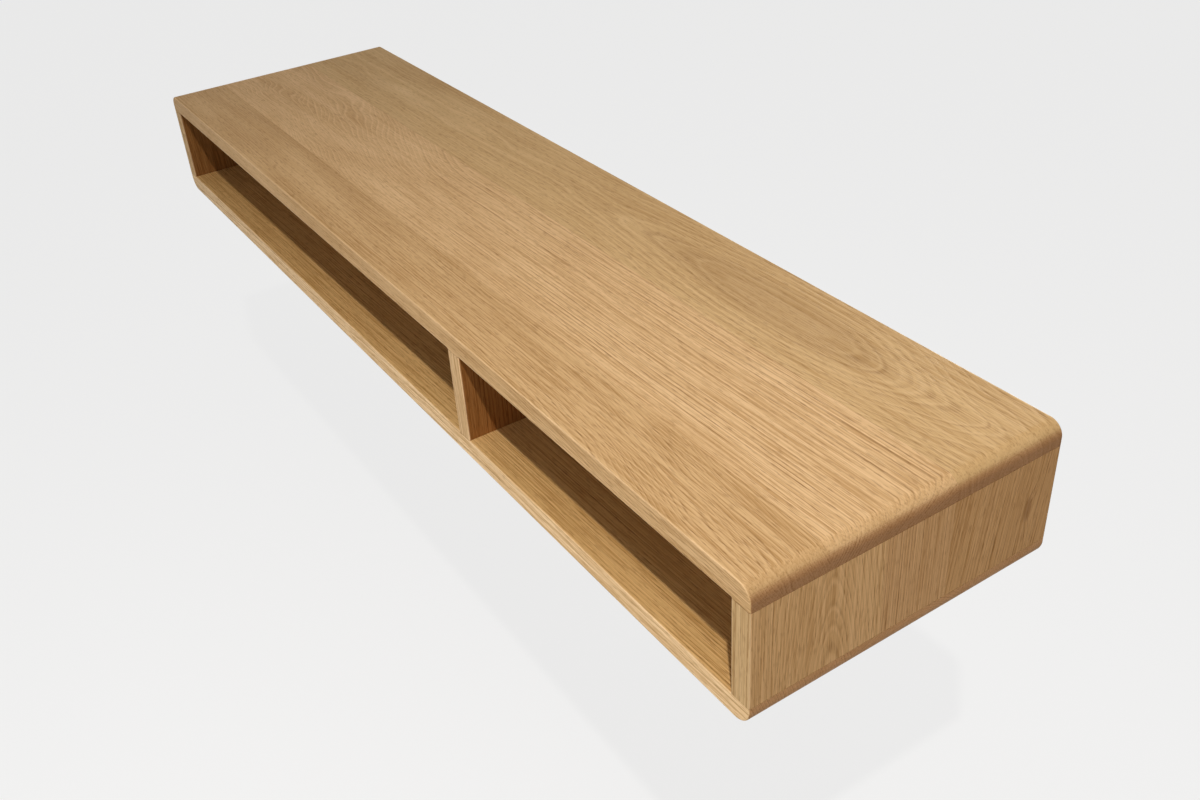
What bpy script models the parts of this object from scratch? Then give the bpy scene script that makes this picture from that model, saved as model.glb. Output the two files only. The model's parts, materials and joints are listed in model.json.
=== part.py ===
"""A wall-hung console shelf in solid oak: an open case with a divider, hooked on a bevelled wall batten.

X runs along the case, to the right as seen from the front. Y runs back to the wall, and Z is up.
The origin is on the wall, in the middle of the wall batten's line of screw holes. Lengths are in metres.
"""

import math

import bmesh
import bpy
from mathutils import Matrix, Vector

# Case
CASE_LENGTH = 1.200
CASE_DEPTH = 0.300
CASE_HEIGHT = 0.130
TOP_THICKNESS = 0.020
BOTTOM_THICKNESS = 0.020
SIDE_THICKNESS = 0.020
DIVIDER_THICKNESS = 0.020
RIGHT_BAY_WIDTH = 0.380
TOP_END_RADIUS = 0.013
BOTTOM_END_RADIUS = 0.016
EDGE_EASE = 0.0015
SEAM_GAP = 0.0003

# Back panel, held in a groove all round
BACK_THICKNESS = 0.006
BACK_GROOVE_DEPTH = 0.006
BACK_FIT = 0.0003

# Split batten: the rail hangs in the case, and the wall batten carries it
BATTEN_THICKNESS = 0.016
BATTEN_CLEARANCE = 0.004
BATTEN_EASE = 0.0008
BEVEL_ANGLE = math.radians(45)
RAIL_HEIGHT = 0.032
LIFT_ROOM = 0.020
WALL_BATTEN_PLAY = 0.030
SCREW_HOLES = 6
SCREW_HOLE_INSET = 0.060
SCREW_HOLE_DIAMETER = 0.0055
COUNTERSINK_DIAMETER = 0.010

# Dowels
DOWEL_DIAMETER = 0.008
CASE_DOWEL_LENGTH = 0.030
RAIL_DOWEL_LENGTH = 0.025
DOWEL_CHAMFER = 0.001
DOWEL_FIT = 0.0003
DOWEL_END_ROOM = 0.0006
DOWEL_COVER = 0.0075
SIDE_DOWELS = 4
DIVIDER_DOWELS = 3
RAIL_DOWELS = 5
DOWEL_FRONT_INSET = 0.035
DOWEL_BACK_INSET = 0.030
RAIL_DOWEL_INSET = 0.080

# Facets
END_SEGMENTS = 16
EASE_SEGMENTS = 3
ROUND_SEGMENTS = 12

# Cutters reach this far past the face that they enter
CUT_OVERSHOOT = 0.002

# Places that follow from the sizes above, measured up from the underside of the case
CASE_RIGHT = CASE_LENGTH / 2
CASE_FRONT = -CASE_DEPTH
BAY_FLOOR = BOTTOM_THICKNESS
BAY_CEILING = CASE_HEIGHT - TOP_THICKNESS
UPRIGHT_LOW = BAY_FLOOR + SEAM_GAP
UPRIGHT_HIGH = BAY_CEILING - SEAM_GAP
INNER_RIGHT = CASE_RIGHT - SIDE_THICKNESS
DIVIDER_RIGHT = INNER_RIGHT - RIGHT_BAY_WIDTH
DIVIDER_LEFT = DIVIDER_RIGHT - DIVIDER_THICKNESS
BAYS = ((-INNER_RIGHT, DIVIDER_LEFT), (DIVIDER_RIGHT, INNER_RIGHT))
BACK_REAR = -BATTEN_THICKNESS - BATTEN_CLEARANCE
BACK_FRONT = BACK_REAR - BACK_THICKNESS
RAIL_FRONT = BACK_REAR + SEAM_GAP
RAIL_REAR = RAIL_FRONT + BATTEN_THICKNESS
RAIL_LOW = UPRIGHT_HIGH - RAIL_HEIGHT
WALL_BATTEN_LOW = BAY_FLOOR + LIFT_ROOM
WALL_BEVEL_DROP = SEAM_GAP / math.cos(BEVEL_ANGLE)


def rail_bevel(y):
    """Height of the rail's sloping lower face at the distance y from the wall."""
    return RAIL_LOW + (RAIL_REAR - y) * math.tan(BEVEL_ANGLE)


SCREW_LINE = (WALL_BATTEN_LOW + rail_bevel(0) - WALL_BEVEL_DROP) / 2


def spread(first, last, count):
    """Evenly spaced places from first to last."""
    step = (last - first) / (count - 1)
    return [first + step * index for index in range(count)]


def clear_scene():
    for obj in list(bpy.data.objects):
        bpy.data.objects.remove(obj)


def add_collection(name):
    collection = bpy.data.collections.new(name)
    bpy.context.scene.collection.children.link(collection)
    return collection


def add_material(name, color, roughness):
    material = bpy.data.materials.new(name)
    material.use_nodes = True
    shader = material.node_tree.nodes["Principled BSDF"]
    shader.inputs["Base Color"].default_value = (*color, 1)
    shader.inputs["Roughness"].default_value = roughness
    shader.inputs["Metallic"].default_value = 0
    return material


class Workshop:
    """Holds the collections, the two groups of pieces and the holes that the dowel joints ask for."""

    def __init__(self):
        self.parts = add_collection("floating_console_shelf")
        self.cutters = add_collection("cutters")
        self.case = self.add_group("case_lift")
        self.wall = self.add_group("wall_side")
        self.holes = {}

    def add_group(self, name):
        """An empty level with the underside of the case, on the line along which the case lifts off."""
        group = bpy.data.objects.new(name, None)
        group.location = (0, 0, -SCREW_LINE)
        self.parts.objects.link(group)
        return group

    def add_part(self, name, mesh, material, parent=None):
        part = bpy.data.objects.new(name, mesh)
        part.parent = parent or self.case
        if not mesh.materials:
            mesh.materials.append(material)
        self.parts.objects.link(part)
        return part

    def add_cutter(self, name, mesh):
        cutter = bpy.data.objects.new(name, mesh)
        cutter.parent = self.case
        cutter.hide_render = True
        cutter.display_type = "WIRE"
        self.cutters.objects.link(cutter)
        return cutter

    def add_board(self, name, low, high, material, parent=None):
        """A sawn board between two opposite corners."""
        low, high = Vector(low), Vector(high)
        board = self.add_part(name, box_mesh(name, high - low), material, parent)
        board.location = (low + high) / 2
        return board

    def groove(self, board, low, high):
        """Cuts a straight groove between two opposite corners."""
        low, high = Vector(low), Vector(high)
        cutter = self.add_cutter(board.name + "_groove", box_mesh("groove", high - low))
        cutter.location = (low + high) / 2
        subtract(board, cutter)

    def join_with_dowel(self, name, length, panel, thickness, other, mouth, inward, mesh):
        """Sets one dowel across a seam. It goes from a panel's face, at mouth, inward and back into other."""
        panel_depth = thickness - DOWEL_COVER
        reach = panel_depth - DOWEL_END_ROOM
        other_depth = length - reach - SEAM_GAP + DOWEL_END_ROOM
        self.holes.setdefault(panel, []).append((mouth, inward, panel_depth))
        self.holes.setdefault(other, []).append((mouth - inward * SEAM_GAP, -inward, other_depth))
        dowel = self.add_part(name, mesh, None)
        dowel.rotation_euler = inward.to_track_quat("Z", "Y").to_euler()
        dowel.location = mouth + inward * (reach - length / 2)

    def drill_all(self):
        for board, holes in self.holes.items():
            subtract(board, self.add_cutter(board.name + "_holes", holes_mesh(board.name, holes)))


def box_mesh(name, size):
    mesh = bpy.data.meshes.new(name)
    shape = bmesh.new()
    bmesh.ops.create_cube(shape, size=1, matrix=Matrix.Diagonal((*size, 1)))
    shape.to_mesh(mesh)
    shape.free()
    return mesh


def holes_mesh(name, holes):
    """One cylinder for each hole, from just outside its mouth to its end."""
    mesh = bpy.data.meshes.new(name + "_holes")
    shape = bmesh.new()
    radius = DOWEL_DIAMETER / 2 + DOWEL_FIT
    for mouth, inward, depth in holes:
        middle = mouth + inward * (depth - CUT_OVERSHOOT) / 2
        turn = inward.to_track_quat("Z", "Y").to_matrix().to_4x4()
        bmesh.ops.create_cone(
            shape,
            cap_ends=True,
            segments=ROUND_SEGMENTS,
            radius1=radius,
            radius2=radius,
            depth=depth + CUT_OVERSHOOT,
            matrix=Matrix.Translation(middle) @ turn,
        )
    shape.to_mesh(mesh)
    shape.free()
    return mesh


def subtract(board, cutter):
    cut = board.modifiers.new(cutter.name, "BOOLEAN")
    cut.operation = "DIFFERENCE"
    cut.solver = "EXACT"
    cut.object = cutter


def near(a, b):
    return abs(a - b) < 1e-6


def edit(board, change):
    """Runs change on the board's mesh as a bmesh."""
    shape = bmesh.new()
    shape.from_mesh(board.data)
    change(shape)
    shape.to_mesh(board.data)
    shape.free()


def round_edges(board, wanted, radius, segments):
    """Rounds each sharp edge whose two ends, in the case's own coordinates, pass the test."""

    def change(shape):
        picked = []
        for edge in shape.edges:
            ends = [board.location + vertex.co for vertex in edge.verts]
            if edge.calc_face_angle() > math.radians(10) and wanted(*ends):
                picked.append(edge)
        bmesh.ops.bevel(
            shape,
            geom=picked,
            offset=radius,
            offset_type="OFFSET",
            segments=segments,
            profile=0.5,
            affect="EDGES",
        )

    edit(board, change)


def mark_bays(board):
    """Adds a line of vertices round the board at each end of each bay, where its rounding stops."""

    def change(shape):
        for x in [x for bay in BAYS for x in bay]:
            everything = shape.verts[:] + shape.edges[:] + shape.faces[:]
            middle = Vector((x, 0, 0)) - board.location
            bmesh.ops.bisect_plane(shape, geom=everything, plane_co=(middle.x, 0, 0), plane_no=(1, 0, 0))

    edit(board, change)


def saw(board, point, outward):
    """Saws the board along a plane and removes what lies on the outward side."""

    def change(shape):
        everything = shape.verts[:] + shape.edges[:] + shape.faces[:]
        cut = bmesh.ops.bisect_plane(
            shape,
            geom=everything,
            plane_co=Vector(point) - board.location,
            plane_no=outward,
            clear_outer=True,
        )
        sawn = [piece for piece in cut["geom_cut"] if isinstance(piece, bmesh.types.BMEdge)]
        bmesh.ops.edgeloop_fill(shape, edges=sawn)
        bmesh.ops.recalc_face_normals(shape, faces=shape.faces)

    edit(board, change)


def shape_outer_panel(board, outside, inside, end_radius, thickness):
    """Rounds a top or bottom panel: its two ends, its outline, and the edge that it shows in each bay."""
    mark_bays(board)
    radius = min(end_radius, thickness - EDGE_EASE)

    def is_end(a, b):
        return all(near(abs(p.x), CASE_RIGHT) and near(p.z, outside) for p in (a, b))

    def is_outline(a, b):
        on_seam = near(a.z, inside) and near(b.z, inside)
        return not on_seam and (near(a.y, b.y) and near(abs(a.y - CASE_FRONT / 2), CASE_DEPTH / 2))

    def is_bay_edge(a, b):
        on_edge = all(near(p.y, CASE_FRONT) and near(p.z, inside) for p in (a, b))
        middle = (a.x + b.x) / 2
        return on_edge and any(left < middle < right for left, right in BAYS)

    round_edges(board, is_end, radius, END_SEGMENTS)
    round_edges(board, is_outline, EDGE_EASE, EASE_SEGMENTS)
    round_edges(board, is_bay_edge, EDGE_EASE, EASE_SEGMENTS)


def is_upright_edge(a, b):
    return near(a.x, b.x) and near(a.y, b.y)


def is_any_edge(_a, _b):
    return True


def make_outer_panel(shop, name, material, outside, inside, end_radius, groove_end):
    """The top or the bottom: it covers the ends of the sides and holds an edge of the back panel."""
    low, high = sorted((outside, inside))
    panel = shop.add_board(name, (-CASE_RIGHT, CASE_FRONT, low), (CASE_RIGHT, 0, high), material)
    shape_outer_panel(panel, outside, inside, end_radius, high - low)
    groove_right = INNER_RIGHT + BACK_GROOVE_DEPTH + BACK_FIT
    groove_low, groove_high = sorted((groove_end, inside + math.copysign(CUT_OVERSHOOT, inside - outside)))
    shop.groove(
        panel,
        (-groove_right, BACK_FRONT - BACK_FIT, groove_low),
        (groove_right, BACK_REAR + BACK_FIT, groove_high),
    )
    return panel


def make_side(shop, name, material, hand):
    """A side between the top and the bottom. hand is -1 on the left and 1 on the right."""
    low_x, high_x = sorted((hand * CASE_RIGHT, hand * INNER_RIGHT))
    side = shop.add_board(name, (low_x, CASE_FRONT, UPRIGHT_LOW), (high_x, 0, UPRIGHT_HIGH), material)
    round_edges(side, is_upright_edge, EDGE_EASE, EASE_SEGMENTS)
    deepest = hand * (INNER_RIGHT + BACK_GROOVE_DEPTH + BACK_FIT)
    low_x, high_x = sorted((deepest, hand * (INNER_RIGHT - CUT_OVERSHOOT)))
    shop.groove(
        side,
        (low_x, BACK_FRONT - BACK_FIT, UPRIGHT_LOW - CUT_OVERSHOOT),
        (high_x, BACK_REAR + BACK_FIT, UPRIGHT_HIGH + CUT_OVERSHOOT),
    )
    return side


def make_divider(shop, material):
    rear = BACK_FRONT - SEAM_GAP
    divider = shop.add_board(
        "divider", (DIVIDER_LEFT, CASE_FRONT, UPRIGHT_LOW), (DIVIDER_RIGHT, rear, UPRIGHT_HIGH), material
    )

    def is_front_upright(a, b):
        return is_upright_edge(a, b) and near(a.y, CASE_FRONT)

    round_edges(divider, is_front_upright, EDGE_EASE, EASE_SEGMENTS)
    return divider


def make_back_panel(shop, material):
    right = INNER_RIGHT + BACK_GROOVE_DEPTH
    low = BAY_FLOOR - BACK_GROOVE_DEPTH
    high = BAY_CEILING + BACK_GROOVE_DEPTH
    return shop.add_board("back_panel", (-right, BACK_FRONT, low), (right, BACK_REAR, high), material)


def make_hanging_rail(shop, material):
    """The case's half of the split batten: its lower face slopes down to the wall."""
    right = INNER_RIGHT - SEAM_GAP
    sawn_off = RAIL_LOW - CUT_OVERSHOOT
    rail = shop.add_board(
        "hanging_rail", (-right, RAIL_FRONT, sawn_off), (right, RAIL_REAR, UPRIGHT_HIGH), material
    )
    saw(rail, (0, RAIL_REAR, RAIL_LOW), (0, -math.sin(BEVEL_ANGLE), -math.cos(BEVEL_ANGLE)))
    round_edges(rail, is_any_edge, BATTEN_EASE, 1)
    return rail


def make_wall_batten(shop, material):
    """The wall's half of the split batten: its upper face slopes the same way, and screws pass through it."""
    right = INNER_RIGHT - WALL_BATTEN_PLAY
    peak = rail_bevel(-BATTEN_THICKNESS) - WALL_BEVEL_DROP
    sawn_off = peak + CUT_OVERSHOOT
    batten = shop.add_board(
        "wall_batten", (-right, -BATTEN_THICKNESS, WALL_BATTEN_LOW), (right, 0, sawn_off), material, shop.wall
    )
    saw(batten, (0, -BATTEN_THICKNESS, peak), (0, math.sin(BEVEL_ANGLE), math.cos(BEVEL_ANGLE)))
    round_edges(batten, is_any_edge, BATTEN_EASE, 1)
    last = right - SCREW_HOLE_INSET
    for number, x in enumerate(spread(-last, last, SCREW_HOLES), start=1):
        cutter = shop.add_cutter(f"screw_hole_{number}", screw_hole_profile())
        cutter.location = (x, -BATTEN_THICKNESS, SCREW_LINE)
        cutter.rotation_euler = (math.radians(90), 0, 0)
        turn_profile(cutter)
        subtract(batten, cutter)
    return batten


def screw_hole_profile():
    """Half section of a countersunk hole, from its wide mouth down. Height 0 is the batten's front face."""
    wide = COUNTERSINK_DIAMETER / 2
    narrow = SCREW_HOLE_DIAMETER / 2
    end = -BATTEN_THICKNESS - CUT_OVERSHOOT
    mouth = [(0, CUT_OVERSHOOT), (wide, CUT_OVERSHOOT), (wide, 0)]
    points = mouth + [(narrow, narrow - wide), (narrow, end), (0, end)]
    mesh = bpy.data.meshes.new("screw_hole")
    mesh.from_pydata([(x, 0, z) for x, z in points], [(i, i + 1) for i in range(len(points) - 1)], [])
    return mesh


def turn_profile(obj):
    screw = obj.modifiers.new("turn", "SCREW")
    screw.axis = "Z"
    screw.angle = math.radians(360)
    screw.steps = ROUND_SEGMENTS
    screw.render_steps = ROUND_SEGMENTS
    screw.use_merge_vertices = True
    screw.merge_threshold = 0.00001


def dowel_mesh(length, material):
    """A plain dowel along Z with chamfered ends."""
    mesh = bpy.data.meshes.new("dowel")
    shape = bmesh.new()
    radius = DOWEL_DIAMETER / 2
    bmesh.ops.create_cone(
        shape, cap_ends=True, segments=ROUND_SEGMENTS, radius1=radius, radius2=radius, depth=length
    )
    rims = [edge for edge in shape.edges if near(edge.verts[0].co.z, edge.verts[1].co.z)]
    bmesh.ops.bevel(shape, geom=rims, offset=DOWEL_CHAMFER, segments=1, affect="EDGES")
    shape.to_mesh(mesh)
    shape.free()
    mesh.materials.append(material)
    mesh.shade_smooth()
    mesh.set_sharp_from_angle(angle=math.radians(35))
    return mesh


def join_case(shop, top, bottom, uprights, mesh):
    """Dowels the top and the bottom to each upright. An upright is (name, board, x, number of dowels)."""
    up = Vector((0, 0, 1))
    for name, board, x, count in uprights:
        rows = spread(CASE_FRONT + DOWEL_FRONT_INSET, BACK_FRONT - DOWEL_BACK_INSET, count)
        for number, y in enumerate(rows, start=1):
            shop.join_with_dowel(
                f"{name}_top_dowel_{number}", CASE_DOWEL_LENGTH, top, TOP_THICKNESS,
                board, Vector((x, y, BAY_CEILING)), up, mesh,
            )
            shop.join_with_dowel(
                f"{name}_bottom_dowel_{number}", CASE_DOWEL_LENGTH, bottom, BOTTOM_THICKNESS,
                board, Vector((x, y, BAY_FLOOR)), -up, mesh,
            )


def join_rail(shop, top, rail, sides, mesh):
    """Dowels the hanging rail up into the top and, at each end, into a side."""
    middle_y = (RAIL_FRONT + RAIL_REAR) / 2
    last = INNER_RIGHT - RAIL_DOWEL_INSET
    for number, x in enumerate(spread(-last, last, RAIL_DOWELS), start=1):
        shop.join_with_dowel(
            f"rail_top_dowel_{number}", RAIL_DOWEL_LENGTH, top, TOP_THICKNESS,
            rail, Vector((x, middle_y, BAY_CEILING)), Vector((0, 0, 1)), mesh,
        )
    middle_z = (UPRIGHT_HIGH + rail_bevel(middle_y)) / 2
    for name, side, hand in sides:
        shop.join_with_dowel(
            f"rail_{name}_dowel", RAIL_DOWEL_LENGTH, side, SIDE_THICKNESS,
            rail, Vector((hand * INNER_RIGHT, middle_y, middle_z)), Vector((hand, 0, 0)), mesh,
        )


def main():
    clear_scene()
    shop = Workshop()
    top = make_outer_panel(
        shop, "top_panel", add_material("top_oak", (0.56, 0.38, 0.20), 0.45),
        CASE_HEIGHT, BAY_CEILING, TOP_END_RADIUS, BAY_CEILING + BACK_GROOVE_DEPTH + BACK_FIT,
    )
    bottom = make_outer_panel(
        shop, "bottom_panel", add_material("bottom_oak", (0.55, 0.36, 0.19), 0.45),
        0, BAY_FLOOR, BOTTOM_END_RADIUS, BAY_FLOOR - BACK_GROOVE_DEPTH - BACK_FIT,
    )
    side_oak = add_material("side_oak", (0.47, 0.30, 0.15), 0.45)
    left = make_side(shop, "left_side", side_oak, -1)
    right = make_side(shop, "right_side", side_oak, 1)
    divider = make_divider(shop, add_material("divider_oak", (0.52, 0.34, 0.18), 0.45))
    make_back_panel(shop, add_material("back_veneer", (0.50, 0.33, 0.18), 0.5))
    batten_wood = add_material("batten_wood", (0.62, 0.46, 0.29), 0.6)
    rail = make_hanging_rail(shop, batten_wood)
    make_wall_batten(shop, batten_wood)

    dowel_wood = add_material("dowel_beech", (0.66, 0.48, 0.31), 0.6)
    case_dowel = dowel_mesh(CASE_DOWEL_LENGTH, dowel_wood)
    rail_dowel = dowel_mesh(RAIL_DOWEL_LENGTH, dowel_wood)
    side_x = (CASE_RIGHT + INNER_RIGHT) / 2
    uprights = (
        ("left", left, -side_x, SIDE_DOWELS),
        ("divider", divider, (DIVIDER_LEFT + DIVIDER_RIGHT) / 2, DIVIDER_DOWELS),
        ("right", right, side_x, SIDE_DOWELS),
    )
    join_case(shop, top, bottom, uprights, case_dowel)
    join_rail(shop, top, rail, (("left", left, -1), ("right", right, 1)), rail_dowel)
    shop.drill_all()


main()
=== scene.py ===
"""Looks of the floating console shelf: oak figured in three dimensions, over a pale floor in soft light.

All lengths are in metres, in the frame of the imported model: X along the case, Y back to the wall, Z up.
"""

import json
import math

import bpy
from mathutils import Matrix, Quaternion, Vector

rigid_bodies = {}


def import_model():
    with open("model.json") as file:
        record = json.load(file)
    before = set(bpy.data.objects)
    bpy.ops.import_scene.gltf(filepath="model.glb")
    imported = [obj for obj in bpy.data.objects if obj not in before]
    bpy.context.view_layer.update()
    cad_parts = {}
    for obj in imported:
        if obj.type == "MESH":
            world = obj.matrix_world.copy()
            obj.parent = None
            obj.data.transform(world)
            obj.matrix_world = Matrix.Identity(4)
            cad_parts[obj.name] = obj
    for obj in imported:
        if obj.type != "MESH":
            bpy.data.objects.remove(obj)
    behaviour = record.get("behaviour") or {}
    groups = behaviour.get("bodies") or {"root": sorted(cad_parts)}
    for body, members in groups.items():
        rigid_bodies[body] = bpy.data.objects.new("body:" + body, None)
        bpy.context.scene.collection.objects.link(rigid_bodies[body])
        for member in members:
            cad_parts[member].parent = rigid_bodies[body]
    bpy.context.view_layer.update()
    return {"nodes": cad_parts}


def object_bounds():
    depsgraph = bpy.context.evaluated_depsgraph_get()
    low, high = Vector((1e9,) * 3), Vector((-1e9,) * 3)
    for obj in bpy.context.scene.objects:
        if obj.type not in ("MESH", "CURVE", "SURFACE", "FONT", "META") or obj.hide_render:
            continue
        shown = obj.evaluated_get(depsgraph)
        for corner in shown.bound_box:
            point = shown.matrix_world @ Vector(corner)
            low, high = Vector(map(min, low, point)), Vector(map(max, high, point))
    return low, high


# Camera
CAMERA_AIM = Vector((0.2754, -0.2036, 0.0080))
CAMERA_DISTANCE = 1.0923
CAMERA_AZIMUTH = math.radians(58.53)
CAMERA_ELEVATION = math.radians(33.83)
CAMERA_ROLL = math.radians(-3.91)
CAMERA_LENS_MM = 37.0
CAMERA_SENSOR_MM = 36.0

# Stage
FLOOR_DROP = 0.62
FLOOR_SIZE = 30.0
FLOOR_COLOR = (0.72, 0.725, 0.73)
FLOOR_ROUGHNESS = 0.9
FLOOR_GLOW = 0.78
SKY_COLOR = (1.0, 0.96, 0.90)
SKY_STRENGTH = 0.135
BACKDROP_COLOR = (1.0, 1.0, 1.0)
BACKDROP_STRENGTH = 0.81

# Lamps: the key makes the crisp shadow in the bays, the rest is soft
KEY = {
    "place": (1.389, -0.858, 1.838),
    "aim": (0.45, -0.15, 0.0),
    "size": 0.05,
    "power": 27.7,
    "color": (1, 0.965, 0.91),
}
OVERHEAD = {
    "place": (0.50, -0.25, 1.15),
    "aim": (0.40, -0.15, 0.0),
    "size": 0.9,
    "power": 4.2,
    "color": (1, 0.98, 0.95),
}
FRONT = {
    "place": (0.55, -1.75, 0.20),
    "aim": (0.4, -0.3, 0.0),
    "size": 1.2,
    "power": 10.5,
    "color": (1, 0.97, 0.92),
}
REAR = {
    "come_from": (-0.55, 0.83, 0.02),
    "spread": math.radians(16),
    "power": 1.8,
    "color": (1, 0.97, 0.92),
}

# Oak, as linear colours
OAK_LIGHT = (0.765, 0.512, 0.270)
OAK_MID = (0.556, 0.335, 0.147)
OAK_PALE_LINE = (0.820, 0.560, 0.310)
OAK_DARK_LINE = (0.330, 0.172, 0.062)
OAK_PORE = (0.235, 0.115, 0.040)
# The eased edges' pale colour: partly wear, partly a painted highlight
OAK_WEAR_AND_HIGHLIGHT = (0.860, 0.620, 0.380)
END_GRAIN_TINT = (0.635, 0.51, 0.455)
SIDE_TINT = (1.06, 0.98, 0.885)

# Parts of the shade, which goes from the light colour at 0 to the middle one at 1
COMBED_START = -0.64
DASH_SHADE = 0.75
FIBRE_SHADE = 0.50
PORE_SHADE = 0.35
DRIFT_START = 0.095
TONE_SHADE = 0.65
STREAK_SHADE = 0.30
CLOUD_SHADE = 2.0

# How far each stain draws the wood towards its colour
PALE_LINE_SHARE = 0.35
DARK_LINE_SHARE = 0.80
PORE_SHARE = 0.60
KNOT_SHARE = 0.60
SEAM_SHARE = 0.35
WEAR_AND_HIGHLIGHT_SHARE = 0.40

# Lengths in the wood
BEND_REACH = 0.005
WIGGLE_REACH = 0.0006
KNOT_RISE = 0.008
SEAM_WIDTH = 0.00025
PORE_DEPTH = 0.0002

# Cycles a metre along the grain, across it and through it
BEND_CYCLES = (1.9, 6.0, 6.0)
WIGGLE_CYCLES = (9.0, 25.0, 25.0)
WAVER_CYCLES = (7.0, 22.0, 22.0)
DASH_CYCLES = (13.0, 740.0, 740.0)
FIBRE_CYCLES = (5.0, 400.0, 400.0)
PORE_CYCLES = (90.0, 850.0, 850.0)
STREAK_CYCLES = (2.0, 80.0, 80.0)
TONE_CYCLES = (2.5, 24.0, 24.0)
CLOUD_CYCLES = (7.0, 30.0, 30.0)

# Cycles a metre out from the pith, on the first axis alone
UNEVEN_CYCLES = (110.0, 1.0, 1.0)

# Where a mark begins and where it is full: in rings, in metres from the pith, or in the mark's own value
DARK_LINE_EDGES = (0.19, 0.03)
PALE_LINE_EDGES = (0.20, 0.02)
HEART_EDGES = (0.042, 0.022)
KNOT_EDGES = (0.55, 0.95)
DASH_EDGES = (0.46, 0.58)
FIBRE_EDGES = (0.32, 0.68)
PORE_EDGES = (0.54, 0.68)
TONE_EDGES = (0.30, 0.65)

# Where a change of the looks begins and where it is full, as a part of the normal
ROUNDING_TURN = (0.15, 0.60)
END_LINES_TURN = (0.75, 0.97)
END_FIBRES_TURN = (0.05, 0.50)
END_TINT_TURN = (0.74, 1.0)
FRONT_TURN = (-0.2, -0.7)
# How far a face turns towards a bay, where shade is painted
PAINTED_BAY_SHADE_TURN = (0.2, 0.7)
WEAR_AND_HIGHLIGHT_TURN = (0.10, 0.48)

# How strongly the marks show, where full is 1
WEAKEST_YEAR = 0.2
LINES_OFF_DASHES = 0.60
LINES_ON_DARK_TONES = 0.45
LINES_ON_ROUNDING = 0.35
LINES_ON_ENDS = 0.90
FIBRES_ON_ENDS = 0.35
PORES_OFF_LINES = 0.4

# How the rings wander: the first two in rings, the others as multiples of a swell
UNEVEN_RINGS = 1.6
PALE_LINE_LAG = 0.30
LEAST_WAVER = 0.6
MOST_WAVER = 1.4

# Finish: what adds up to the roughness, and the relief of the marks as parts of PORE_DEPTH
OILED_ROUGHNESS = 0.45
BARE_ROUGHNESS = 0.57
FIBRE_ROUGHNESS = 0.08
PORE_ROUGHNESS = 0.25
EASED_EDGE_ROUGHNESS = -0.10
DASH_RELIEF = -0.5
LINE_RELIEF = -0.5
PORE_RELIEF = -0.8
BUMP_STRENGTH = 0.6
SPECULAR_LEVEL = 0.05

# The two inputs and the output of a mix node, by the kind of value
MIX_SOCKETS = {"FLOAT": (2, 3, 0), "VECTOR": (4, 5, 1), "RGBA": (6, 7, 2)}


class NodeMaterial:
    """Adds nodes to one material. An input takes a value or another node's output."""

    def __init__(self, name):
        self.material = bpy.data.materials.new(name)
        self.material.use_nodes = True
        self.nodes = self.material.node_tree.nodes
        self.links = self.material.node_tree.links
        self.shader = self.nodes["Principled BSDF"]

    def put(self, socket, value):
        if isinstance(value, bpy.types.NodeSocket):
            self.links.new(value, socket)
        elif socket.type == "RGBA":
            socket.default_value = (*value, 1)
        else:
            socket.default_value = value

    def node(self, kind, *values, **settings):
        made = self.nodes.new(kind)
        for name, value in settings.items():
            setattr(made, name, value)
        for socket, value in zip(made.inputs, values):
            if value is not None:
                self.put(socket, value)
        return made

    def math(self, operation, *values):
        return self.node("ShaderNodeMath", *values, operation=operation).outputs[0]

    def vector(self, operation, *values):
        return self.node("ShaderNodeVectorMath", *values, operation=operation).outputs[0]

    def split(self, vector):
        return self.node("ShaderNodeSeparateXYZ", vector).outputs

    def join(self, x, y, z):
        return self.node("ShaderNodeCombineXYZ", x, y, z).outputs[0]

    def mix(self, kind, factor, first, second, blend="MIX"):
        made = self.node("ShaderNodeMix", factor, data_type=kind, blend_type=blend)
        first_socket, second_socket, output = MIX_SOCKETS[kind]
        self.put(made.inputs[first_socket], first)
        self.put(made.inputs[second_socket], second)
        return made.outputs[output]

    def stain(self, color, amount, stain, share):
        """The colour, drawn towards the stain by up to share where amount is 1."""
        return self.mix("RGBA", self.math("MULTIPLY", amount, share), color, stain)

    def noise(self, vector, cycles, detail=1.0):
        """Noise with so many cycles a metre along each axis: its value, and three values as a vector."""
        made = self.node("ShaderNodeTexNoise", self.vector("MULTIPLY", vector, cycles))
        made.inputs["Scale"].default_value = 1.0
        made.inputs["Detail"].default_value = detail
        return made.outputs[0], made.outputs[1]

    def ramp(self, value, low, high, to_low=0.0, to_high=1.0):
        """A smooth step from to_low, where value is low, to to_high, where it is high."""
        made = self.node("ShaderNodeMapRange", value, low, high, to_low, to_high)
        made.interpolation_type = "SMOOTHSTEP"
        return made.outputs[0]

    def scale(self, value, least, most):
        """A value from 0 to 1, made to go from least to most."""
        return self.math("MULTIPLY_ADD", value, most - least, least)

    def sum_of_squares(self, first, second):
        return self.math("MULTIPLY_ADD", first, first, self.math("MULTIPLY", second, second))


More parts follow.
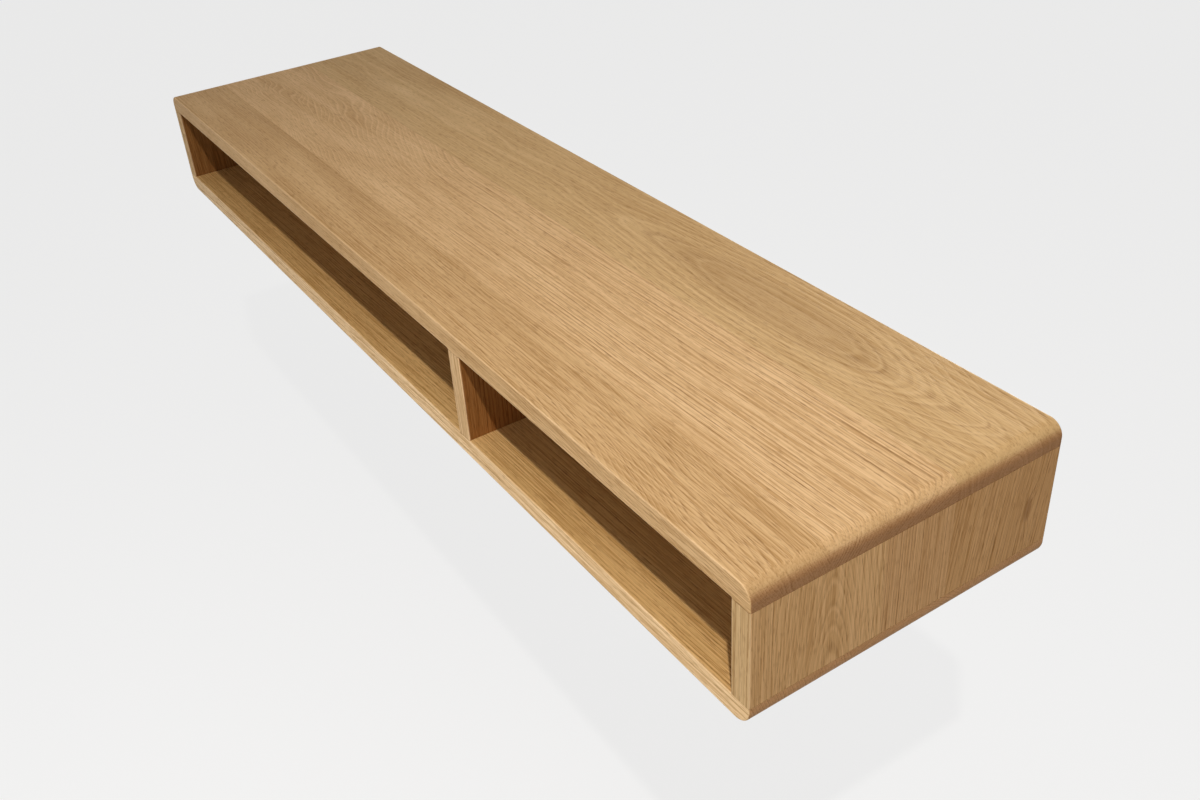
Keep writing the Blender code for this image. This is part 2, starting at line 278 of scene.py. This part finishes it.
class Oak(NodeMaterial):
    """Oak in glued staves, each with the rings, pores, fibres and tones of the log that it was sawn from.

    grain is the axis along the wood, and contrast is how strongly the rings show. knot says where a small
    knot lies along and across the board, how long it is and how wide. calm is (start, end, share): along
    the grain from end to start, lines and fibres fade to that share, and soft clouds take their place.
    """

    def __init__(self, name, grain, staves, knot=None, calm=None, contrast=1.0):
        super().__init__(name)
        self.staves = staves
        self.seams = [board["edge"] for board in staves[:-1]]
        self.contrast = contrast
        self.find_place(grain)
        self.weigh_marks(calm)
        self.grow(knot)
        self.draw_fibres()
        self.draw_rings()
        self.draw_pores()

    def find_place(self, grain):
        """Where a place lies on the board, which way it faces and which seams it is past."""
        source = self.node("ShaderNodeTexCoord").outputs
        self.place = self.along_grain(source["Object"], grain)
        self.along, self.across, _ = self.split(self.place)
        normal = self.along_grain(source["Normal"], grain)
        normal_along, self.normal_across, self.normal_through = self.split(normal)
        self.facing_along = self.math("ABSOLUTE", normal_along)
        self.past_seams = [self.math("GREATER_THAN", self.across, seam) for seam in self.seams]

    def along_grain(self, vector, grain):
        """The vector, with its first axis along the grain and its second from front to back."""
        x, y, z = self.split(vector)
        return self.join(x, y, z) if grain == "X" else self.join(z, y, x)

    def own(self, kind, values):
        """Of the values, one for each stave, the one of the stave that a place lies in."""
        chosen = values[0]
        for past, value in zip(self.past_seams, values[1:]):
            chosen = self.mix(kind, past, chosen, value)
        return chosen

    def weigh_marks(self, calm):
        """How strongly lines and fibres show: less where the board is calm, and at its rounded ends."""
        lines = self.own("FLOAT", [board["lines"] * self.contrast for board in self.staves])
        fibres = self.own("FLOAT", [board["fibres"] for board in self.staves])
        self.unrest = None
        if calm:
            start, end, share = calm
            self.unrest = self.ramp(self.along, start, end, share, 1.0)
            lines = self.math("MULTIPLY", lines, self.unrest)
            fibres = self.math("MULTIPLY", fibres, self.unrest)
        rounded = self.ramp(self.facing_along, *ROUNDING_TURN, 1.0, LINES_ON_ROUNDING)
        regained = self.ramp(self.facing_along, *END_LINES_TURN, 0.0, LINES_ON_ENDS - LINES_ON_ROUNDING)
        self.turned = self.math("ADD", rounded, regained)
        self.line_weight = self.math("MULTIPLY", lines, self.turned)
        ended = self.ramp(self.facing_along, *END_FIBRES_TURN, 1.0, FIBRES_ON_ENDS)
        self.fibre_weight = self.math("MULTIPLY", fibres, ended)

    def grow(self, knot):
        """Where a place was in its tree and how far from the pith, with bends, swells and any knot."""
        self.log = self.own("VECTOR", [self.place_in_log(board) for board in self.staves])
        bent = self.vector("ADD", self.log, self.sway(BEND_CYCLES, BEND_REACH))
        self.grown = self.vector("ADD", bent, self.sway(WIGGLE_CYCLES, WIGGLE_REACH))
        _, side, depth = self.split(self.grown)
        radius = self.math("SQRT", self.sum_of_squares(side, depth))
        rise = self.own("FLOAT", [self.ring_rise(board) for board in self.staves])
        waver, _ = self.noise(self.log, WAVER_CYCLES)
        self.radius = self.math("MULTIPLY_ADD", rise, self.scale(waver, LEAST_WAVER, MOST_WAVER), radius)
        self.knot = None
        if knot:
            self.knot = self.knot_middle(*knot)
            self.radius = self.math("MULTIPLY_ADD", self.knot, KNOT_RISE, self.radius)

    def place_in_log(self, board):
        """Where a place on the board was in its tree, whose pith is the first axis."""
        turned = self.node("ShaderNodeMapping", self.place, vector_type="TEXTURE")
        turned.inputs["Location"].default_value = (board["shift"], *board["pith"])
        turned.inputs["Rotation"].default_value = (0, 0, board["slope"])
        return turned.outputs[0]

    def sway(self, cycles, reach):
        """A slow drift of the wood across its grain, by about reach each way."""
        _, drift = self.noise(self.log, cycles)
        drift = self.vector("SUBTRACT", drift, (0.5, 0.5, 0.5))
        return self.vector("MULTIPLY", drift, (0, reach * 2, reach * 2))

    def ring_rise(self, board):
        """How much thinner the tree has become at a place, by the board's swells."""
        rise = 0.0
        for start, end, height in board["swells"]:
            rise = self.math("ADD", rise, self.ramp(self.along, start, end, 0.0, height))
        return rise

    def knot_middle(self, along_at, across_at, long, wide):
        """1 in the middle of a knot, falling to 0 round it, long along the grain and wide across it."""
        far_along = self.math("DIVIDE", self.math("SUBTRACT", self.along, along_at), long)
        far_across = self.math("DIVIDE", self.math("SUBTRACT", self.across, across_at), wide)
        far = self.sum_of_squares(far_along, far_across)
        return self.math("EXPONENT", self.math("MULTIPLY", far, -1.0))

    def draw_fibres(self):
        """Dashes and fibres along the grain, slow streaks and slower tones."""
        dashes, _ = self.noise(self.grown, DASH_CYCLES)
        self.dashes = self.ramp(dashes, *DASH_EDGES)
        fibre, _ = self.noise(self.grown, FIBRE_CYCLES)
        self.fibre = self.ramp(fibre, *FIBRE_EDGES)
        self.streak, _ = self.noise(self.grown, STREAK_CYCLES)
        self.tone, _ = self.noise(self.log, TONE_CYCLES, detail=2.0)

    def count_rings(self):
        """How many years lie between the pith and a place, some of them wider than others."""
        ring = self.own("FLOAT", [board["ring"] for board in self.staves])
        uneven, _ = self.noise(self.join(self.radius, 0.0, 0.0), UNEVEN_CYCLES)
        return self.math("MULTIPLY_ADD", uneven, UNEVEN_RINGS, self.math("DIVIDE", self.radius, ring))

    def off_whole(self, rings):
        """How far a count of rings is from the nearest whole one."""
        return self.math("PINGPONG", rings, 0.5)

    def draw_rings(self):
        """The dark line that starts each year's ring, some years stronger, and the pale line by it."""
        rings = self.count_rings()
        year = self.math("ROUND", rings)
        chance = self.node("ShaderNodeTexWhiteNoise", None, year, noise_dimensions="1D").outputs[0]
        dark = self.ramp(self.off_whole(rings), *DARK_LINE_EDGES)
        dark = self.math("MULTIPLY", dark, self.scale(chance, WEAKEST_YEAR, 1.0))
        dark = self.math("MULTIPLY", dark, self.scale(self.dashes, LINES_OFF_DASHES, 1.0))
        toned = self.ramp(self.tone, *TONE_EDGES, 1.0, LINES_ON_DARK_TONES)
        self.dark = self.math("MULTIPLY", dark, self.math("MULTIPLY", self.line_weight, toned))
        pale = self.ramp(self.off_whole(self.math("ADD", rings, PALE_LINE_LAG)), *PALE_LINE_EDGES)
        self.pale = self.math("MULTIPLY", pale, self.turned)

    def draw_pores(self):
        """Short pores, most of them in the dark lines."""
        pores, _ = self.noise(self.grown, PORE_CYCLES)
        crowded = self.scale(self.dark, PORES_OFF_LINES, 1.0)
        self.pores = self.math("MULTIPLY", self.ramp(pores, *PORE_EDGES), crowded)

    def clouds(self):
        """Soft clouds, where the board is calm."""
        clouds, _ = self.noise(self.grown, CLOUD_CYCLES, detail=2.0)
        rest = self.math("SUBTRACT", 1.0, self.unrest)
        return self.math("MULTIPLY", self.math("SUBTRACT", clouds, 0.5), rest)

    def shade(self):
        """How far the wood goes from its light to its middle colour."""
        combed = self.math("MULTIPLY_ADD", self.dashes, DASH_SHADE, COMBED_START)
        combed = self.math("MULTIPLY_ADD", self.fibre, FIBRE_SHADE, combed)
        combed = self.math("MULTIPLY_ADD", self.pores, PORE_SHADE, combed)
        drifts = self.math("MULTIPLY_ADD", self.tone, TONE_SHADE, DRIFT_START)
        drifts = self.math("MULTIPLY_ADD", self.streak, STREAK_SHADE, drifts)
        if self.unrest is not None:
            drifts = self.math("MULTIPLY_ADD", self.clouds(), CLOUD_SHADE, drifts)
        return self.math("MULTIPLY_ADD", combed, self.fibre_weight, drifts)

    def wood_color(self):
        """The wood's colour before it is tinted, stained by lines, pores, heart, knot and seams."""
        color = self.mix("RGBA", self.shade(), OAK_LIGHT, OAK_MID)
        color = self.stain(color, self.pale, OAK_PALE_LINE, PALE_LINE_SHARE * self.contrast)
        color = self.stain(color, self.dark, OAK_DARK_LINE, DARK_LINE_SHARE)
        color = self.stain(color, self.pores, OAK_PORE, PORE_SHARE)
        hearts = [board["heart"] for board in self.staves]
        if any(hearts):
            near_pith = self.ramp(self.radius, *HEART_EDGES)
            color = self.stain(color, near_pith, OAK_DARK_LINE, self.own("FLOAT", hearts))
        if self.knot is not None:
            color = self.stain(color, self.ramp(self.knot, *KNOT_EDGES), OAK_DARK_LINE, KNOT_SHARE)
        for seam in self.seams:
            on_seam = self.math("COMPARE", self.across, seam, SEAM_WIDTH / 2)
            color = self.stain(color, on_seam, OAK_DARK_LINE, SEAM_SHARE)
        return color

    def tint(self, front_tint, painted_bay_shade, end_tint):
        """The staves' own tints, with others on the front and on the ends, and a dark tint as painted shade
        on a face that looks right.
        """
        tint = self.own("RGBA", [board["tint"] for board in self.staves])
        if front_tint:
            tint = self.mix("RGBA", self.ramp(self.normal_across, *FRONT_TURN), tint, front_tint)
        if painted_bay_shade:
            tint = self.mix("RGBA", self.ramp(self.normal_through, *PAINTED_BAY_SHADE_TURN), tint, painted_bay_shade)
        return self.mix("RGBA", self.ramp(self.facing_along, *END_TINT_TURN), tint, end_tint)

    def relief(self):
        """The normal over finely sunken dashes, lines and pores."""
        height = self.math("MULTIPLY", self.dark, LINE_RELIEF)
        height = self.math("MULTIPLY_ADD", self.dashes, DASH_RELIEF, height)
        height = self.math("MULTIPLY_ADD", self.pores, PORE_RELIEF, height)
        bump = self.node("ShaderNodeBump")
        bump.inputs["Strength"].default_value = BUMP_STRENGTH
        bump.inputs["Distance"].default_value = PORE_DEPTH
        self.put(bump.inputs["Height"], height)
        return bump.outputs[0]

    def finish(self, tint, roughness):
        """Tints the wood, paints its eased edges pale as wear and as a painted highlight, makes them
        smoother, and hands all to the shader.
        """
        eased = self.math("ABSOLUTE", self.math("MULTIPLY", self.normal_across, self.normal_through))
        wear_and_highlight = self.ramp(eased, *WEAR_AND_HIGHLIGHT_TURN)
        color = self.mix("RGBA", 1.0, self.wood_color(), tint, "MULTIPLY")
        # Eased edges drawn pale: some wear, and a painted highlight where the edges would catch the light
        color = self.stain(color, wear_and_highlight, OAK_WEAR_AND_HIGHLIGHT, WEAR_AND_HIGHLIGHT_SHARE)
        rough = self.math("MULTIPLY_ADD", self.fibre, FIBRE_ROUGHNESS, roughness)
        rough = self.math("MULTIPLY_ADD", self.pores, PORE_ROUGHNESS, rough)
        rough = self.math("MULTIPLY_ADD", wear_and_highlight, EASED_EDGE_ROUGHNESS, rough)
        self.put(self.shader.inputs["Base Color"], color)
        self.put(self.shader.inputs["Roughness"], rough)
        self.put(self.shader.inputs["Normal"], self.relief())
        self.shader.inputs["Specular IOR Level"].default_value = SPECULAR_LEVEL


def oak(
    name, grain, staves, front_tint=None, painted_bay_shade=None, end_tint=END_GRAIN_TINT,
    roughness=OILED_ROUGHNESS, **figure,
):
    """A finished oak material. figure holds any knot, calm and contrast of the wood."""
    wood = Oak(name, grain, staves, **figure)
    wood.finish(wood.tint(front_tint, painted_bay_shade, end_tint), roughness)
    return wood.material


def stave(
    edge, pith, ring=0.0026, slope=0.0, shift=0.0, tint=(1, 1, 1),
    swells=(), lines=1.0, fibres=1.0, heart=0.0,
):
    """One board of a glued panel, up to the place edge across it.

    pith is where the middle of its tree lies, across the panel and through it, and ring is how much the
    tree grew in a year. slope turns the grain in the face, in degrees. shift picks another stretch of the
    tree. Each of the swells is (start, end, height): over that stretch along the grain, the tree gets
    thinner by height, which draws arches on the face. lines and fibres are how strongly the rings and the
    straight fibres show, and heart is how much darker the wood near the pith is.
    """
    return {
        "edge": edge,
        "pith": pith,
        "ring": ring,
        "slope": math.radians(slope),
        "shift": shift,
        "tint": tint,
        "swells": swells,
        "lines": lines,
        "fibres": fibres,
        "heart": heart,
    }


def make_top_oak(front, back):
    """Arches at the right end in front, a straight middle, and a long lens with a dark heart behind."""
    arched = stave(
        front + 0.068, (front - 0.015, 0.045), shift=3.1, tint=(0.86, 0.83, 0.78),
        swells=[(0.20, 0.75, 0.050)], lines=0.9,
    )
    straight = stave(
        front + 0.190, (front + 0.290, -0.060), slope=0.4, shift=7.7, tint=(0.985, 0.98, 0.99),
        swells=[(-0.08, -0.50, 0.045)], lines=1.2,
    )
    lens = stave(
        back, (front + 0.249, 0.055), ring=0.0065, shift=12.4, tint=(0.90, 0.905, 0.86),
        swells=[(0.37, 0.66, 0.055), (0.33, 0.02, 0.024)], lines=0.62, fibres=0.55, heart=0.28,
    )
    return oak(
        "top_oak_figure", "X", [arched, straight, lens],
        calm=(-0.35, 0.42, 0.30), front_tint=(0.90, 0.89, 0.86),
    )


def make_bottom_oak(front, back):
    """Three straight staves, tinted darker and more yellow as painted shade inside the bays, with a paler
    front edge.
    """
    staves = [
        # These tints darken and yellow the floor of the bays: painted shade
        stave(front + 0.095, (front + 0.160, -0.120), slope=1.0, shift=21.3, tint=(0.92, 0.87, 0.69)),
        stave(front + 0.205, (front + 0.150, -0.110), shift=26.9, tint=(0.88, 0.83, 0.67)),
        stave(back, (front + 0.360, -0.100), slope=-0.6, shift=31.5, tint=(0.91, 0.86, 0.69)),
    ]
    return oak(
        "bottom_oak_figure", "X", staves,
        front_tint=(1.20, 1.29, 1.42), end_tint=(0.90, 0.75, 0.67),
    )


def make_right_oak(front, back):
    """A narrow stave at the front, an arched one, a straight one, and a sloping one with a small knot."""
    narrow = stave(
        front + 0.022, (front - 0.060, 0.560), ring=0.0030, shift=40.1, tint=SIDE_TINT,
        lines=1.3, fibres=0.8,
    )
    arched = stave(
        front + 0.122, (front + 0.073, 0.588), ring=0.0036, shift=41.2, tint=SIDE_TINT,
        swells=[(-0.10, 0.12, 0.022)], lines=0.8, fibres=0.7,
    )
    straight = stave(
        front + 0.188, (front + 0.320, 0.520), shift=44.8, tint=(0.99, 0.885, 0.80), lines=1.3, fibres=0.6
    )
    sloping = stave(
        back, (front + 0.150, 0.480), ring=0.0034, slope=7.0, shift=48.1, tint=(0.905, 0.78, 0.645),
        fibres=0.6,
    )
    return oak(
        "right_side_figure", "Z", [narrow, arched, straight, sloping],
        knot=(0.006, front + 0.272, 0.020, 0.008), front_tint=(0.84, 0.86, 0.84),
    )


def make_left_oak(front, back):
    """An arched stave and a straight one, with painted shade where they face the bay."""
    arched = stave(
        front + 0.150, (front + 0.060, -0.588), ring=0.0036, shift=51.6, tint=SIDE_TINT,
        swells=[(-0.10, 0.12, -0.020)],
    )
    straight = stave(back, (front + 0.300, -0.500), slope=2.0, shift=55.3, tint=(0.95, 0.85, 0.72))
    return oak(
        "left_side_figure", "Z", [arched, straight],
        # The face towards the bay is tinted dark: painted shade
        front_tint=(0.90, 0.92, 0.88), painted_bay_shade=(0.29, 0.195, 0.11),
    )


def make_divider_oak(front, back):
    """Two staves tinted dark as painted shade inside the bays, with a paler front edge."""
    staves = [
        # The staves' dark tints are painted shade of the bays, and the front edge keeps a plain tint
        stave(front + 0.110, (front + 0.180, 0.020), shift=61.7, tint=(0.44, 0.285, 0.155)),
        stave(back, (front + 0.060, 0.060), shift=65.9, tint=(0.42, 0.275, 0.15)),
    ]
    return oak("divider_figure", "Z", staves, front_tint=(1.00, 1.03, 1.07))


def make_veneer(back):
    return oak("back_veneer_figure", "X", [stave(back, (0.0, -0.220), shift=71.4)])


def make_batten_oak(back):
    plain = stave(back, (0.05, -0.100), shift=81.4, tint=(1.02, 1.08, 1.20))
    return oak("batten_figure", "X", [plain], roughness=BARE_ROUGHNESS)


def make_dowel_wood(back):
    plain = stave(back, (0.05, 0.30), shift=91.4)
    return oak("dowel_figure", "Z", [plain], roughness=BARE_ROUGHNESS, contrast=0.3)


def dress(nodes, materials):
    """Gives each named node its material in place of the one that it was packed with."""
    for name, material in materials.items():
        node = nodes[name]
        node.data.materials.clear()
        node.data.materials.append(material)


def make_materials(nodes):
    low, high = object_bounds()
    front, back = low.y, high.y
    batten = make_batten_oak(back)
    dowel = make_dowel_wood(back)
    boards = {
        "top_panel": make_top_oak(front, back),
        "bottom_panel": make_bottom_oak(front, back),
        "right_side": make_right_oak(front, back),
        "left_side": make_left_oak(front, back),
        "divider": make_divider_oak(front, back),
        "back_panel": make_veneer(back),
        "hanging_rail": batten,
        "wall_batten": batten,
    }
    dress(nodes, boards)
    dress(nodes, {name: dowel for name in nodes if "_dowel" in name})


def seen_ray(nodes, links):
    """1 for what is seen straight, in gloss or through glass, and 0 for what only gives light."""
    path = nodes.new("ShaderNodeLightPath").outputs
    seen = path["Is Camera Ray"]
    for other in ("Is Glossy Ray", "Is Transmission Ray"):
        either = nodes.new("ShaderNodeMath")
        either.operation = "MAXIMUM"
        links.new(seen, either.inputs[0])
        links.new(path[other], either.inputs[1])
        seen = either.outputs[0]
    return seen


def make_floor():
    """A pale floor that takes the shadow. What is seen of it is paler than the light that it gives back."""
    low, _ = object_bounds()
    bpy.ops.mesh.primitive_plane_add(size=FLOOR_SIZE, location=(0, 0, low.z - FLOOR_DROP))
    floor = bpy.context.object
    floor.name = "floor"
    paint = NodeMaterial("floor_paint")
    paint.shader.inputs["Base Color"].default_value = (*FLOOR_COLOR, 1)
    paint.shader.inputs["Roughness"].default_value = FLOOR_ROUGHNESS
    glow = paint.node("ShaderNodeEmission")
    choice = paint.node("ShaderNodeMixShader")
    paint.put(choice.inputs[0], paint.math("MULTIPLY", seen_ray(paint.nodes, paint.links), FLOOR_GLOW))
    paint.put(choice.inputs[1], paint.shader.outputs[0])
    paint.put(choice.inputs[2], glow.outputs[0])
    paint.put(paint.nodes["Material Output"].inputs["Surface"], choice.outputs[0])
    floor.data.materials.append(paint.material)


def make_sky():
    """Even light from all round. Seen straight or in gloss, it is a white backdrop."""
    world = bpy.data.worlds.new("studio")
    bpy.context.scene.world = world
    world.use_nodes = True
    nodes, links = world.node_tree.nodes, world.node_tree.links
    sky = nodes["Background"]
    sky.inputs["Color"].default_value = (*SKY_COLOR, 1)
    sky.inputs["Strength"].default_value = SKY_STRENGTH
    backdrop = nodes.new("ShaderNodeBackground")
    backdrop.inputs["Color"].default_value = (*BACKDROP_COLOR, 1)
    backdrop.inputs["Strength"].default_value = BACKDROP_STRENGTH
    choice = nodes.new("ShaderNodeMixShader")
    links.new(seen_ray(nodes, links), choice.inputs[0])
    links.new(sky.outputs[0], choice.inputs[1])
    links.new(backdrop.outputs[0], choice.inputs[2])
    links.new(choice.outputs[0], nodes["World Output"].inputs["Surface"])


def make_lamp(name, place, aim, size, power, color):
    data = bpy.data.lights.new(name, "AREA")
    data.shape = "DISK"
    data.size = size
    data.energy = power
    data.color = color
    lamp = bpy.data.objects.new(name, data)
    lamp.location = place
    lamp.rotation_euler = (Vector(place) - Vector(aim)).to_track_quat("Z", "Y").to_euler()
    bpy.context.scene.collection.objects.link(lamp)


def make_far_light(name, come_from, spread, power, color):
    """Soft light from far away, level enough to reach the back and the end but not the top."""
    data = bpy.data.lights.new(name, "SUN")
    data.energy = power
    data.angle = spread
    data.color = color
    lamp = bpy.data.objects.new(name, data)
    lamp.location = come_from
    lamp.rotation_euler = Vector(come_from).to_track_quat("Z", "Y").to_euler()
    bpy.context.scene.collection.objects.link(lamp)


def make_camera():
    data = bpy.data.cameras.new("camera")
    data.sensor_fit = "HORIZONTAL"
    data.sensor_width = CAMERA_SENSOR_MM
    data.lens = CAMERA_LENS_MM
    camera = bpy.data.objects.new("camera", data)
    flat = math.cos(CAMERA_ELEVATION)
    backwards = Vector(
        (math.sin(CAMERA_AZIMUTH) * flat, -math.cos(CAMERA_AZIMUTH) * flat, math.sin(CAMERA_ELEVATION))
    )
    level = backwards.to_track_quat("Z", "Y")
    camera.rotation_euler = (level @ Quaternion((0, 0, 1), CAMERA_ROLL)).to_euler()
    camera.location = CAMERA_AIM + backwards * CAMERA_DISTANCE
    bpy.context.scene.collection.objects.link(camera)
    bpy.context.scene.camera = camera


for leftover in list(bpy.data.objects):
    bpy.data.objects.remove(leftover)
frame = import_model()
bpy.context.scene.view_settings.view_transform = "Standard"
make_materials(frame["nodes"])
make_floor()
make_sky()
make_lamp("key", **KEY)
make_lamp("overhead", **OVERHEAD)
make_lamp("front", **FRONT)
make_far_light("rear", **REAR)
make_camera()
